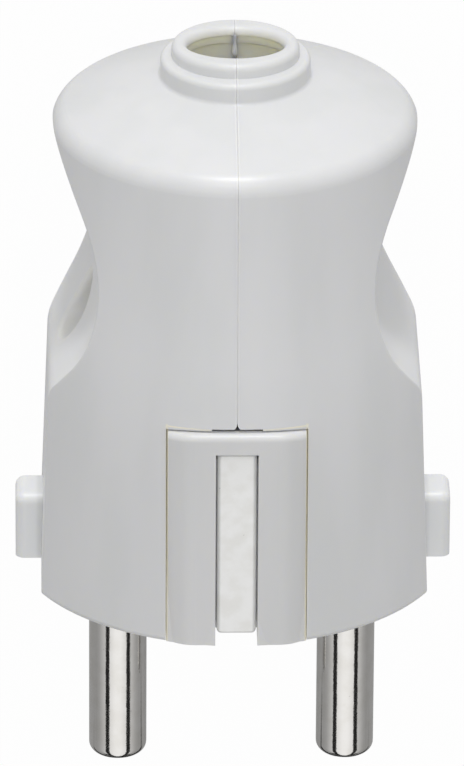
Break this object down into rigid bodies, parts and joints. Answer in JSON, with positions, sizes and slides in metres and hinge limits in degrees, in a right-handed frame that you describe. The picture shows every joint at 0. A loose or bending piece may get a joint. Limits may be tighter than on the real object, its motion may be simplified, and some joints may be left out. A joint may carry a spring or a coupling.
{
  "type": "type f plug",
  "caption": "Rewireable mains plug with round pins, side earth contacts in a waisted two-shell housing and a stepped oval cord inlet on its axis.",
  "frame": {"origin": "centre of the flat engagement face that the pins stand out of, midway between them", "axes": "+X along the row of pins, +Y from the engagement face to the cord inlet, so the pins point to -Y, +Z out of the front earth contact, straight up from the floor when the plug lies on its rear contact block"},
  "size_m": [0.036, 0.0649, 0.036],
  "materials": {
    "housing": "satin white moulding",
    "carrier": "satin white moulding",
    "clamp": "white moulding",
    "nickel": "bright nickel plate on brass",
    "screws": "zinc plated",
    "brass": "turned brass"
  },
  "bodies": {
    "root": {"left_shell": "housing", "right_shell": "housing", "pin_carrier": "carrier", "left_pin": "nickel", "right_pin": "nickel", "earth_bracket": "nickel", "left_terminal_screw": "screws", "right_terminal_screw": "screws", "left_wire_guard": "nickel", "right_wire_guard": "nickel", "earth_screw": "screws", "earth_clamp_washer": "screws", "earth_nut": "brass", "housing_screw": "screws", "threaded_insert": "brass", "cord_clamp": "clamp", "front_clamp_screw": "screws", "rear_clamp_screw": "screws"}
  },
  "joints": []
}
